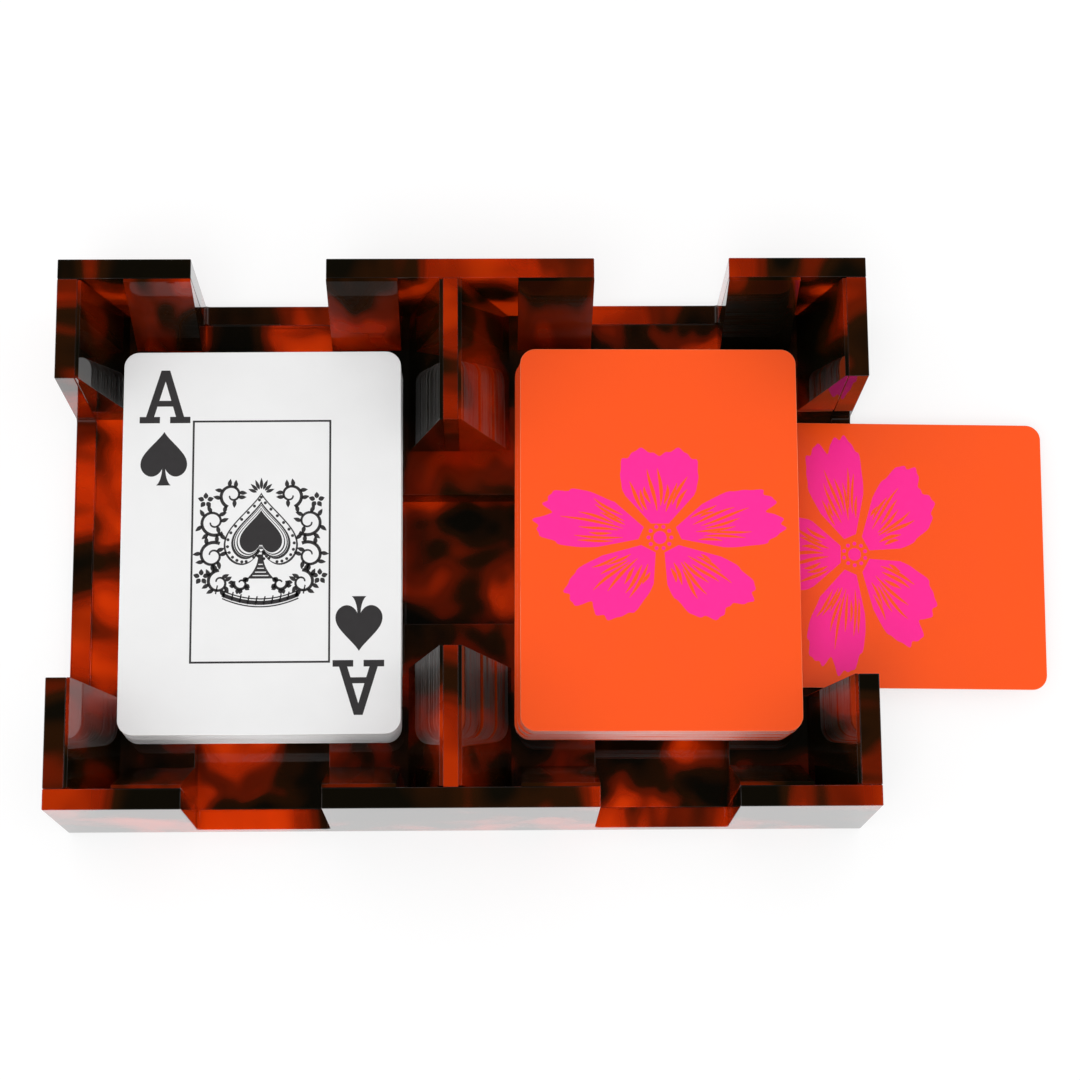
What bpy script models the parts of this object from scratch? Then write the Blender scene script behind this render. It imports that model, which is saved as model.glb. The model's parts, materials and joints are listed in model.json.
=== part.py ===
"""Canasta card tray: a two-well tray of tortoiseshell acrylic sheet with two packs of cards.

Metres, +X to the right, +Y to the back, +Z up. The origin is on the tray's underside, at its centre.
The discard well is on the left and the stock well on the right.
"""
import math

import bmesh
import bpy
from mathutils import Vector

# Playing cards, poker size
CARD_WIDTH = 0.0635
CARD_LENGTH = 0.0889
CARD_CORNER_RADIUS = 0.0035
CARD_THICKNESS = 0.0003
DISCARD_PACK_THICKNESS = 0.0126
STOCK_PACK_THICKNESS = 0.0126

# Acrylic sheet
WALL_THICKNESS = 0.0046
BASE_THICKNESS = 0.0046
DIVIDER_THICKNESS = 0.0033
RISER_THICKNESS = 0.0071
EDGE_BEVEL = 0.0004
GUIDE_BEVEL = 0.0002
NOTCH_FILLET = 0.001

# Guides: wedges that lead the cards down onto the risers
GUIDE_HEIGHT = 0.029
GUIDE_LAND = 0.0005
SIDE_GUIDE_FOOT = 0.0082
STOCK_DIVIDER_GUIDE_FOOT = 0.0116
END_GUIDE_FOOT = 0.0084
GUIDE_CORNER_CLEARANCE = 0.0018

# Notches, channel and the gap between the dividers, and how far each sits off centre
FINGER_WIDTH = 0.0305
FINGER_NOTCH_SET_OUT = 0.0005
DIVIDER_GAP = 0.0513
CENTRE_SET_FORWARD = 0.00085
SIDE_NOTCH_SET_BACK = 0.00065

# Clearances
JOINT_GAP = 0.0003
DISCARD_SIDE_PLAY = 0.001
STOCK_SIDE_PLAY = 0.00205
CARD_END_PLAY = 0.00475
SIDE_NOTCH_PLAY = 0.0022

# How the cards lie, as they were left
SIDE_CARD_REACH = 0.0444
SIDE_CARD_SET_BACK = 0.0013
DISCARD_SET_LEFT = 0.00035
DISCARD_SET_BACK = 0.0006
STOCK_SET_BACK = 0.0009
STOCK_FAN_STEP = 0.0006
SIDE_CARD_TURN_DEGREES = -0.9
DISCARD_TURN_DEGREES = (0.0, 0.1, 0.15)
STOCK_TURN_DEGREES = (-0.4, -0.4, -0.3, -0.3)
DISCARD_PACKET_SHARES = (0.42, 0.58)
STOCK_PACKET_SHARES = (0.3, 0.3, 0.4)

# Segments of the arcs and bevels
CORNER_SEGMENTS = 6
FILLET_SEGMENTS = 4
BEVEL_SEGMENTS = 2
BEVEL_ANGLE_DEGREES = 40.0

# Sizes that follow from the ones above
GUIDE_SIDE = JOINT_GAP + SIDE_GUIDE_FOOT
DISCARD_WELL_WIDTH = 2 * (GUIDE_SIDE + DISCARD_SIDE_PLAY) + CARD_WIDTH
STOCK_SLOT_WIDTH = CARD_WIDTH + 2 * STOCK_SIDE_PLAY
STOCK_WELL_WIDTH = GUIDE_SIDE + STOCK_SLOT_WIDTH + STOCK_DIVIDER_GUIDE_FOOT + JOINT_GAP
WELL_DEPTH = 2 * (JOINT_GAP + END_GUIDE_FOOT + CARD_END_PLAY) + CARD_LENGTH
TRAY_LENGTH = 2 * WALL_THICKNESS + DISCARD_WELL_WIDTH + DIVIDER_THICKNESS + STOCK_WELL_WIDTH
FLOOR_TOP = BASE_THICKNESS
SHELF_TOP = FLOOR_TOP + JOINT_GAP + RISER_THICKNESS
RIM_TOP = SHELF_TOP + JOINT_GAP + GUIDE_HEIGHT
INNER_X = TRAY_LENGTH / 2 - WALL_THICKNESS
INNER_Y = WELL_DEPTH / 2
DIVIDER_LEFT = -INNER_X + DISCARD_WELL_WIDTH
DIVIDER_RIGHT = DIVIDER_LEFT + DIVIDER_THICKNESS
DISCARD_X = -INNER_X + DISCARD_WELL_WIDTH / 2
STOCK_X = INNER_X - GUIDE_SIDE - STOCK_SLOT_WIDTH / 2
DIVIDER_BACK_END = DIVIDER_GAP / 2 - CENTRE_SET_FORWARD
DIVIDER_FRONT_END = -DIVIDER_GAP / 2 - CENTRE_SET_FORWARD
CHANNEL_BACK = FINGER_WIDTH / 2 - CENTRE_SET_FORWARD
CHANNEL_FRONT = -FINGER_WIDTH / 2 - CENTRE_SET_FORWARD
SIDE_NOTCH_WIDTH = CARD_WIDTH + 2 * SIDE_NOTCH_PLAY
SIDE_NOTCH_BACK = SIDE_NOTCH_WIDTH / 2 + SIDE_NOTCH_SET_BACK
SIDE_NOTCH_FRONT = -SIDE_NOTCH_WIDTH / 2 + SIDE_NOTCH_SET_BACK

# Colours, linear
SHELL_COLOUR = (0.16, 0.035, 0.008, 1.0)
RISER_COLOUR = (0.10, 0.022, 0.006, 1.0)
GUIDE_COLOUR = (0.26, 0.05, 0.008, 1.0)
CARD_WHITE = (0.83, 0.83, 0.83, 1.0)
CARD_ORANGE = (1.0, 0.13, 0.025, 1.0)
SHELL_ROUGHNESS = 0.06
CARD_ROUGHNESS = 0.45


def clear_scene():
    """Remove whatever objects the scene starts with."""
    for obj in list(bpy.data.objects):
        bpy.data.objects.remove(obj, do_unlink=True)


def make_material(name, colour, roughness):
    """Return a Principled material of one colour."""
    material = bpy.data.materials.new(name)
    material.use_nodes = True
    shader = material.node_tree.nodes["Principled BSDF"]
    shader.inputs["Base Color"].default_value = colour
    shader.inputs["Roughness"].default_value = roughness
    material.diffuse_color = colour
    return material


def arc(centre, radius, start_degrees, end_degrees, segments):
    """Return the points of an arc, both ends included."""
    points = []
    for step in range(segments + 1):
        angle = math.radians(start_degrees + (end_degrees - start_degrees) * step / segments)
        points.append((centre[0] + radius * math.cos(angle), centre[1] + radius * math.sin(angle)))
    return points


def extrude(name, outline, thickness, colour, roughness, bevel=0.0):
    """Make an object from a flat outline in local XY, extruded from local Z zero upwards."""
    mesh = bpy.data.meshes.new(name)
    shape = bmesh.new()
    bottom = [shape.verts.new((x, y, 0.0)) for x, y in outline]
    face = shape.faces.new(bottom)
    raised = bmesh.ops.extrude_face_region(shape, geom=[face])
    top = [item for item in raised["geom"] if isinstance(item, bmesh.types.BMVert)]
    bmesh.ops.translate(shape, verts=top, vec=Vector((0.0, 0.0, thickness)))
    bmesh.ops.recalc_face_normals(shape, faces=shape.faces)
    shape.to_mesh(mesh)
    shape.free()
    obj = bpy.data.objects.new(name, mesh)
    obj.data.materials.append(make_material(name + "_material", colour, roughness))
    bpy.context.scene.collection.objects.link(obj)
    if bevel > 0.0:
        polish = obj.modifiers.new("Polished edges", "BEVEL")
        polish.width = bevel
        polish.segments = BEVEL_SEGMENTS
        polish.limit_method = "ANGLE"
        polish.angle_limit = math.radians(BEVEL_ANGLE_DEGREES)
    return obj


def rectangle(width, depth):
    """Return a rectangle's outline, from the origin to (width, depth)."""
    return [(0.0, 0.0), (width, 0.0), (width, depth), (0.0, depth)]


def block(name, low, high, colour):
    """Make a bevelled block of sheet between two opposite corners."""
    outline = rectangle(high[0] - low[0], high[1] - low[1])
    obj = extrude(name, outline, high[2] - low[2], colour, SHELL_ROUGHNESS, EDGE_BEVEL)
    obj.location = low
    return obj


def notched_outline(length, height, floor, notches):
    """Return a wall's outline with its notches cut down from the rim to the floor.

    The outline starts at the lower left corner, and each notch is a (left, right) pair.
    """
    outline = [(0.0, 0.0), (length, 0.0), (length, height)]
    for left, right in sorted(notches, reverse=True):
        outline.append((right, height))
        low_right = (right - NOTCH_FILLET, floor + NOTCH_FILLET)
        outline += arc(low_right, NOTCH_FILLET, 0.0, -90.0, FILLET_SEGMENTS)
        low_left = (left + NOTCH_FILLET, floor + NOTCH_FILLET)
        outline += arc(low_left, NOTCH_FILLET, 270.0, 180.0, FILLET_SEGMENTS)
        outline.append((left, height))
    outline.append((0.0, height))
    return outline


def make_base_plate():
    """The bottom sheet, let in between the four walls."""
    edge_x = INNER_X - JOINT_GAP
    edge_y = INNER_Y - JOINT_GAP
    return block("base_plate", (-edge_x, -edge_y, 0.0), (edge_x, edge_y, BASE_THICKNESS), SHELL_COLOUR)


def finger_notches():
    """Return the finger notches of the discard and stock wells as (left, right) places along X."""
    half = FINGER_WIDTH / 2
    discard = DISCARD_X - FINGER_NOTCH_SET_OUT
    stock = STOCK_X + FINGER_NOTCH_SET_OUT
    return [(discard - half, discard + half), (stock - half, stock + half)]


def make_long_wall(name, outer_y):
    """The front or back wall, with a finger notch at each well. It runs the tray's whole length."""
    half_length = TRAY_LENGTH / 2
    notches = [(left + half_length, right + half_length) for left, right in finger_notches()]
    outline = notched_outline(TRAY_LENGTH, RIM_TOP, FLOOR_TOP, notches)
    wall = extrude(name, outline, WALL_THICKNESS, SHELL_COLOUR, SHELL_ROUGHNESS, EDGE_BEVEL)
    wall.rotation_euler = (math.radians(90.0), 0.0, 0.0)
    wall.location = (-half_length, outer_y, 0.0)
    return wall


def make_side_wall(name, outer_x):
    """The left or right wall, between the long walls, with one notch as wide as a card."""
    length = WELL_DEPTH - 2 * JOINT_GAP
    notch = (SIDE_NOTCH_FRONT + length / 2, SIDE_NOTCH_BACK + length / 2)
    outline = notched_outline(length, RIM_TOP, FLOOR_TOP, [notch])
    wall = extrude(name, outline, WALL_THICKNESS, SHELL_COLOUR, SHELL_ROUGHNESS, EDGE_BEVEL)
    wall.rotation_euler = (math.radians(90.0), 0.0, math.radians(90.0))
    wall.location = (outer_x, -length / 2, 0.0)
    return wall


def make_walls():
    """The four walls round the base plate."""
    make_long_wall("front_wall", -INNER_Y)
    make_long_wall("back_wall", INNER_Y + WALL_THICKNESS)
    make_side_wall("left_wall", -INNER_X - WALL_THICKNESS)
    make_side_wall("right_wall", INNER_X)


def make_risers():
    """Six blocks on the base that carry the packs and leave finger channels between them."""
    low = FLOOR_TOP + JOINT_GAP
    wall_x = INNER_X - JOINT_GAP
    wall_y = INNER_Y - JOINT_GAP
    (discard_left, discard_right), (stock_left, stock_right) = finger_notches()
    spans = {
        "left": (-wall_x, discard_left, SIDE_NOTCH_FRONT, SIDE_NOTCH_BACK),
        "middle": (discard_right, stock_left, CHANNEL_FRONT, CHANNEL_BACK),
        "right": (stock_right, wall_x, SIDE_NOTCH_FRONT, SIDE_NOTCH_BACK),
    }
    for place, (west, east, front, back) in spans.items():
        block("riser_back_" + place, (west, back, low), (east, wall_y, SHELF_TOP), RISER_COLOUR)
        block("riser_front_" + place, (west, -wall_y, low), (east, front, SHELF_TOP), RISER_COLOUR)


def make_dividers():
    """The two short dividers, which stand on the middle risers and leave a gap between them."""
    low = SHELF_TOP + JOINT_GAP
    wall_y = INNER_Y - JOINT_GAP
    back, front = DIVIDER_BACK_END, DIVIDER_FRONT_END
    block("divider_back", (DIVIDER_LEFT, back, low), (DIVIDER_RIGHT, wall_y, RIM_TOP), SHELL_COLOUR)
    block("divider_front", (DIVIDER_LEFT, -wall_y, low), (DIVIDER_RIGHT, front, RIM_TOP), SHELL_COLOUR)


def make_guide(name, foot, length, location, heading_degrees):
    """A wedge guide: upright back, narrow land on top and a sloping face down to its foot.

    The back's lower edge runs from the location along the heading, and the foot lies to its left.
    """
    profile = [(0.0, 0.0), (foot, 0.0), (GUIDE_LAND, GUIDE_HEIGHT), (0.0, GUIDE_HEIGHT)]
    guide = extrude(name, profile, length, GUIDE_COLOUR, SHELL_ROUGHNESS, GUIDE_BEVEL)
    guide.rotation_euler = (math.radians(90.0), 0.0, math.radians(heading_degrees + 90.0))
    guide.location = location
    return guide


def make_side_guides():
    """The eight guides along the side walls and along both faces of the dividers."""
    low = SHELF_TOP + JOINT_GAP
    wall_y = INNER_Y - JOINT_GAP
    wall_x = INNER_X - JOINT_GAP
    left_face = DIVIDER_LEFT - JOINT_GAP
    right_face = DIVIDER_RIGHT + JOINT_GAP
    small, large = SIDE_GUIDE_FOOT, STOCK_DIVIDER_GUIDE_FOOT
    rows = [
        ("discard_wall", -wall_x, small, -90.0, SIDE_NOTCH_FRONT, SIDE_NOTCH_BACK),
        ("discard_divider", left_face, small, 90.0, DIVIDER_FRONT_END, DIVIDER_BACK_END),
        ("stock_divider", right_face, large, -90.0, DIVIDER_FRONT_END, DIVIDER_BACK_END),
        ("stock_wall", wall_x, small, 90.0, SIDE_NOTCH_FRONT, SIDE_NOTCH_BACK),
    ]
    for place, x, foot, heading, front, back in rows:
        back_start = wall_y if heading < 0.0 else back
        front_start = front if heading < 0.0 else -wall_y
        make_guide("guide_" + place + "_back", foot, wall_y - back, (x, back_start, low), heading)
        make_guide("guide_" + place + "_front", foot, wall_y + front, (x, front_start, low), heading)


def make_end_guides():
    """The eight guides on the front and back walls, one on each side of every finger notch."""
    low = SHELF_TOP + JOINT_GAP
    wall_y = INNER_Y - JOINT_GAP
    wall_stop = INNER_X - JOINT_GAP - SIDE_GUIDE_FOOT - GUIDE_CORNER_CLEARANCE
    discard_stop = DIVIDER_LEFT - JOINT_GAP - SIDE_GUIDE_FOOT - GUIDE_CORNER_CLEARANCE
    stock_stop = DIVIDER_RIGHT + JOINT_GAP + STOCK_DIVIDER_GUIDE_FOOT + GUIDE_CORNER_CLEARANCE
    (discard_left, discard_right), (stock_left, stock_right) = finger_notches()
    spans = {
        "discard_outer": (-wall_stop, discard_left),
        "discard_inner": (discard_right, discard_stop),
        "stock_inner": (stock_stop, stock_left),
        "stock_outer": (stock_right, wall_stop),
    }
    for place, (west, east) in spans.items():
        length = east - west
        make_guide("guide_" + place + "_back", END_GUIDE_FOOT, length, (east, wall_y, low), 180.0)
        make_guide("guide_" + place + "_front", END_GUIDE_FOOT, length, (west, -wall_y, low), 0.0)


def card_outline():
    """Return a card's outline, centred on the origin, with rounded corners."""
    x = CARD_WIDTH / 2 - CARD_CORNER_RADIUS
    y = CARD_LENGTH / 2 - CARD_CORNER_RADIUS
    outline = []
    for centre, start in (((x, y), 0.0), ((-x, y), 90.0), ((-x, -y), 180.0), ((x, -y), 270.0)):
        outline += arc(centre, CARD_CORNER_RADIUS, start, start + 90.0, CORNER_SEGMENTS)
    return outline


def make_cards(name, thickness, location, turn_degrees, colour):
    """One card or a squared packet of cards, with its underside centre at the location."""
    cards = extrude(name, card_outline(), thickness, colour, CARD_ROUGHNESS)
    cards.location = location
    cards.rotation_euler = (0.0, 0.0, math.radians(turn_degrees))
    return cards


def make_discard_pack():
    """The face-up pack in the left well: two packets and the card on top."""
    names = ("discard_packet_lower", "discard_packet_upper", "discard_top_card")
    sizes = [share * DISCARD_PACK_THICKNESS for share in DISCARD_PACKET_SHARES] + [CARD_THICKNESS]
    low = SHELF_TOP + JOINT_GAP
    for name, size, turn in zip(names, sizes, DISCARD_TURN_DEGREES):
        make_cards(name, size, (DISCARD_X - DISCARD_SET_LEFT, DISCARD_SET_BACK, low), turn, CARD_WHITE)
        low += size + JOINT_GAP


def make_stock_pack():
    """The face-down pack in the right well: three packets, fanned a little, and the card on top."""
    names = ("stock_packet_lower", "stock_packet_middle", "stock_packet_upper", "stock_top_card")
    sizes = [share * STOCK_PACK_THICKNESS for share in STOCK_PACKET_SHARES] + [CARD_THICKNESS]
    low = SHELF_TOP + JOINT_GAP
    fan = -2 * STOCK_FAN_STEP
    for name, size, turn in zip(names, sizes, STOCK_TURN_DEGREES):
        make_cards(name, size, (STOCK_X + fan, STOCK_SET_BACK, low), turn, CARD_ORANGE)
        low += size + JOINT_GAP
        fan = min(fan + STOCK_FAN_STEP, 0.0)


def make_side_card():
    """The loose card that lies crosswise on the base, under the stock and out through the notch."""
    centre_x = TRAY_LENGTH / 2 + SIDE_CARD_REACH - CARD_LENGTH / 2
    location = (centre_x, SIDE_CARD_SET_BACK, FLOOR_TOP + JOINT_GAP)
    make_cards("side_card", CARD_THICKNESS, location, 90.0 + SIDE_CARD_TURN_DEGREES, CARD_ORANGE)


def main():
    """Build the tray and its cards."""
    clear_scene()
    make_base_plate()
    make_walls()
    make_risers()
    make_dividers()
    make_side_guides()
    make_end_guides()
    make_discard_pack()
    make_stock_pack()
    make_side_card()


main()
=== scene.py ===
"""Studio scene of a canasta card tray in tortoiseshell acrylic with two packs of playing cards.

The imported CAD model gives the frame. The acrylic pieces get polished, rounded edges and a
tortoiseshell acrylic finish, the packs become stacks of separate cards, and the top cards carry
their printing. Lengths are metres unless a name ends in _mm.
"""
from __future__ import annotations

import json
import logging
import math
from dataclasses import dataclass, field
from enum import Enum

import bmesh
import bpy
import numpy as np
from mathutils import Matrix, Vector
from mathutils.geometry import tessellate_polygon

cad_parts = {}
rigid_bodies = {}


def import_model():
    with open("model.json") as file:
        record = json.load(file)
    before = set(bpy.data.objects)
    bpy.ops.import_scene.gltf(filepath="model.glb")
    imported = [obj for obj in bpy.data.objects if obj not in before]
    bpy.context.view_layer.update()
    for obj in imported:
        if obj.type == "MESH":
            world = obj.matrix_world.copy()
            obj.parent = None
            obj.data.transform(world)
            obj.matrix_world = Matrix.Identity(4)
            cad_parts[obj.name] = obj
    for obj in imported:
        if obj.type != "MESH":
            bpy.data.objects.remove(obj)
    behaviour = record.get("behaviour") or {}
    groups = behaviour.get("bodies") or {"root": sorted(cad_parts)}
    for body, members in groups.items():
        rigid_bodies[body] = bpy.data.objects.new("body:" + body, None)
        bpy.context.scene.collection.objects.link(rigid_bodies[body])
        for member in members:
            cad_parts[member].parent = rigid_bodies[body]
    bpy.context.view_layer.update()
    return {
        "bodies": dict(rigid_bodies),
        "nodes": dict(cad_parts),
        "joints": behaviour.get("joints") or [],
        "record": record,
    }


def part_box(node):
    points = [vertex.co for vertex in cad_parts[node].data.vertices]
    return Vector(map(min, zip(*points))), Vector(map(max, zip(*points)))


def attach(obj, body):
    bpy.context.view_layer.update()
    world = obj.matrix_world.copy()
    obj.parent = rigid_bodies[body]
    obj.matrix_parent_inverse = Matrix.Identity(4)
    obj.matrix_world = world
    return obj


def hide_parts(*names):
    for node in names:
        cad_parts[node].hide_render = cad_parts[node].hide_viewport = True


LOG = logging.getLogger("card_tray")
MM = 0.001
WHITE = (1.0, 1.0, 1.0, 1.0)
# The wave texture draws this many bands to a unit at scale 1.
WAVE_BANDS = 3.18


class Axis(Enum):
    """The row axis along which a sheet of acrylic has its thickness."""

    X = 0
    Y = 1
    Z = 2


class Cloud(Enum):
    """How much of a piece of tortoiseshell is amber, from dark cuts to bright ones."""

    DARK = 0.40
    MIXED = 0.47
    BRIGHT = 0.55


def hex_linear(code: str) -> tuple[float, float, float, float]:
    """Turn an sRGB hex colour into linear RGBA.

    Args:
        code: Six hex digits, with or without a leading hash.

    Returns:
        Linear red, green, blue and an alpha of one.
    """
    digits = code.lstrip("#")
    channels = [int(digits[i:i + 2], 16) / 255.0 for i in (0, 2, 4)]
    linear = [c / 12.92 if c <= 0.04045 else ((c + 0.055) / 1.055) ** 2.4 for c in channels]
    return (linear[0], linear[1], linear[2], 1.0)


def empty_tree(owner: bpy.types.Material | bpy.types.World) -> bpy.types.NodeTree:
    """Give a material or a world an empty node tree."""
    owner.use_nodes = True
    owner.node_tree.nodes.clear()
    return owner.node_tree


def add_node(
    tree: bpy.types.NodeTree, kind: str, inputs: dict | None = None, **settings: object
) -> bpy.types.Node:
    """Add one node with its settings, socket values and links.

    Args:
        tree: The node tree.
        kind: The node's type, such as ShaderNodeTexNoise.
        inputs: Socket name or number to a value, or to an output socket that is linked to it.
        **settings: Attributes of the node.

    Returns:
        The new node.
    """
    node = tree.nodes.new(kind)
    for name, value in settings.items():
        setattr(node, name, value)
    for key, value in (inputs or {}).items():
        socket = node.inputs[key]
        if isinstance(value, bpy.types.NodeSocket):
            tree.links.new(value, socket)
        else:
            socket.default_value = value
    return node


def set_ramp(node: bpy.types.Node, stops: list[tuple[float, str]]) -> None:
    """Set a colour ramp's stops.

    Args:
        node: The ColorRamp node.
        stops: Position and sRGB hex colour of each stop, in rising order.
    """
    ramp = node.color_ramp
    ramp.interpolation = "EASE"
    while len(ramp.elements) > 1:
        ramp.elements.remove(ramp.elements[-1])
    ramp.elements[0].position, ramp.elements[0].color = stops[0][0], hex_linear(stops[0][1])
    for position, code in stops[1:]:
        ramp.elements.new(position).color = hex_linear(code)


def new_material(name: str) -> tuple[bpy.types.Material, bpy.types.NodeTree, bpy.types.Node]:
    """Start a material with an empty tree and one Principled shader.

    Args:
        name: The material's name.

    Returns:
        The material, its node tree and the Principled node.
    """
    material = bpy.data.materials.new(name)
    tree = empty_tree(material)
    shader = add_node(tree, "ShaderNodeBsdfPrincipled")
    add_node(tree, "ShaderNodeOutputMaterial", {"Surface": shader.outputs["BSDF"]})
    return material, tree, shader


@dataclass(frozen=True)
class TortoiseshellAcrylic:
    """Cast acrylic sheet, celluloid-like tortoiseshell: black and amber clouds under a deep polish.

    The amber clouds let light through and the black ones do not, so the sheet glows where light
    reaches it from behind. How strongly it mirrors its surroundings is the specular level.
    """

    name: str
    thickness_axis: Axis
    offset_mm: tuple[float, float, float]
    cloud: Cloud = Cloud.MIXED
    cloud_mm: float = 21.0
    swirl_mm: float = 7.0
    through: float = 0.35
    clearest: float = 0.62
    detail: float = 2.2
    fineness: float = 0.45
    distortion: float = 0.25
    ior: float = 1.49
    specular: float = 0.5
    ramp: tuple[tuple[float, str], ...] = (
        (0.40, "#0b0803"),
        (0.47, "#241003"),
        (0.53, "#711c03"),
        (0.59, "#c63004"),
        (0.68, "#fb4606"),
    )

    def build(self) -> bpy.types.Material:
        """Build the material.

        Returns:
            The finished material.
        """
        material, tree, shader = new_material(self.name)
        coordinates = add_node(tree, "ShaderNodeTexCoord")
        stretch = [1.0, 1.0, 1.0]
        # The clouds run through the sheet, so they change little across its thickness.
        stretch[self.thickness_axis.value] = self.through
        place = add_node(tree, "ShaderNodeMapping", {
            "Vector": coordinates.outputs["Object"],
            "Location": [v * MM for v in self.offset_mm],
            "Scale": stretch,
        })
        clouds = add_node(tree, "ShaderNodeTexNoise", {
            "Vector": place.outputs["Vector"],
            "Scale": 1.0 / (self.cloud_mm * MM),
            "Detail": self.detail,
            "Roughness": self.fineness,
            "Distortion": self.distortion,
        })
        colour = add_node(tree, "ShaderNodeValToRGB", {"Fac": clouds.outputs["Fac"]})
        # A darker cut moves every stop up, so that less of the noise reaches the amber.
        shift = (0.5 - self.cloud.value) * 0.4
        set_ramp(colour, [(position + shift, code) for position, code in self.ramp])
        clear = add_node(tree, "ShaderNodeMapRange", {
            "Value": clouds.outputs["Fac"],
            "From Min": 0.46 + shift,
            "From Max": 0.58 + shift,
            "To Min": 0.0,
            "To Max": self.clearest,
        })
        # A faint swirl in the gloss, as polishing leaves it.
        swirl = add_node(
            tree, "ShaderNodeTexNoise",
            {"Vector": coordinates.outputs["Object"], "Scale": 1.0 / (self.swirl_mm * MM), "Detail": 3.0},
        )
        gloss = add_node(
            tree, "ShaderNodeMapRange",
            {"Value": swirl.outputs["Fac"], "To Min": 0.015, "To Max": 0.06},
        )
        wave = add_node(
            tree, "ShaderNodeBump",
            {"Height": swirl.outputs["Fac"], "Strength": 0.03, "Distance": 0.0002},
        )
        tree.links.new(colour.outputs["Color"], shader.inputs["Base Color"])
        tree.links.new(clear.outputs["Result"], shader.inputs["Transmission Weight"])
        tree.links.new(gloss.outputs["Result"], shader.inputs["Roughness"])
        tree.links.new(wave.outputs["Normal"], shader.inputs["Normal"])
        shader.inputs["IOR"].default_value = self.ior
        shader.inputs["Specular IOR Level"].default_value = self.specular
        return material


@dataclass(frozen=True)
class CoatedCardStock:
    """Playing-card board with a varnished, lightly textured face: an even colour with a satin sheen."""

    name: str
    colour: str
    shade: str
    formation_mm: float = 9.0
    dimple_mm: float = 0.8
    roughness: float = 0.34
    specular: float = 0.35
    ior: float = 1.5

    def build(self) -> bpy.types.Material:
        """Build the material.

        Returns:
            The finished material.
        """
        material, tree, shader = new_material(self.name)
        coordinates = add_node(tree, "ShaderNodeTexCoord")
        # Board formation: cloudy shade differences a few millimetres across.
        cloud = add_node(
            tree, "ShaderNodeTexNoise",
            {"Vector": coordinates.outputs["Object"], "Scale": 1.0 / (self.formation_mm * MM), "Detail": 4.0},
        )
        colour = add_node(
            tree, "ShaderNodeMix",
            {"Factor": cloud.outputs["Fac"], "A": hex_linear(self.colour), "B": hex_linear(self.shade)},
            data_type="RGBA",
        )
        # A light emboss, as playing cards often have, drawn coarse enough to show.
        dimples = add_node(
            tree, "ShaderNodeTexVoronoi",
            {"Vector": coordinates.outputs["Object"], "Scale": 1.0 / (self.dimple_mm * MM)},
            feature="SMOOTH_F1",
        )
        emboss = add_node(
            tree, "ShaderNodeBump",
            {"Height": dimples.outputs["Distance"], "Strength": 0.05, "Distance": 0.00005},
        )
        sheen = add_node(tree, "ShaderNodeMapRange", {
            "Value": cloud.outputs["Fac"],
            "To Min": self.roughness - 0.05,
            "To Max": self.roughness + 0.07,
        })
        tree.links.new(colour.outputs["Result"], shader.inputs["Base Color"])
        tree.links.new(sheen.outputs["Result"], shader.inputs["Roughness"])
        tree.links.new(emboss.outputs["Normal"], shader.inputs["Normal"])
        shader.inputs["IOR"].default_value = self.ior
        shader.inputs["Specular IOR Level"].default_value = self.specular
        return material


@dataclass(frozen=True)
class CutCardEdge:
    """Guillotined edges of a stack of cards: one fine line to a card, pale board and a tint of ink."""

    name: str
    board: str
    ink: str
    pitch_mm: float = 0.3
    streak_mm: float = 1.1
    roughness: float = 0.62

    def build(self) -> bpy.types.Material:
        """Build the material.

        Returns:
            The finished material.
        """
        material, tree, shader = new_material(self.name)
        coordinates = add_node(tree, "ShaderNodeTexCoord")
        lines = add_node(
            tree, "ShaderNodeTexWave",
            {
                "Vector": coordinates.outputs["Object"],
                "Scale": 1.0 / (self.pitch_mm * MM) / WAVE_BANDS,
                "Distortion": 0.6,
                "Detail": 2.0,
            },
            bands_direction="Z",
        )
        streaks = add_node(
            tree, "ShaderNodeMapping",
            {"Vector": coordinates.outputs["Object"], "Scale": (0.04, 0.04, 1.0)},
        )
        uneven = add_node(
            tree, "ShaderNodeTexNoise",
            {"Vector": streaks.outputs["Vector"], "Scale": 1.0 / (self.streak_mm * MM), "Detail": 3.0},
        )
        # A few cards together keep a streak of the ink's colour.
        tint = add_node(tree, "ShaderNodeMapRange", {
            "Value": uneven.outputs["Fac"],
            "From Min": 0.54,
            "From Max": 0.65,
            "To Min": 0.0,
            "To Max": 0.85,
        })
        blend = add_node(
            tree, "ShaderNodeMath",
            {0: lines.outputs["Fac"], 1: 0.16, 2: tint.outputs["Result"]},
            operation="MULTIPLY_ADD",
            use_clamp=True,
        )
        colour = add_node(
            tree, "ShaderNodeMix",
            {"Factor": blend.outputs["Value"], "A": hex_linear(self.board), "B": hex_linear(self.ink)},
            data_type="RGBA",
        )
        ridge = add_node(
            tree, "ShaderNodeBump",
            {"Height": lines.outputs["Fac"], "Strength": 0.3, "Distance": 0.00005},
        )
        tree.links.new(colour.outputs["Result"], shader.inputs["Base Color"])
        tree.links.new(ridge.outputs["Normal"], shader.inputs["Normal"])
        shader.inputs["Roughness"].default_value = self.roughness
        return material


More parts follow.
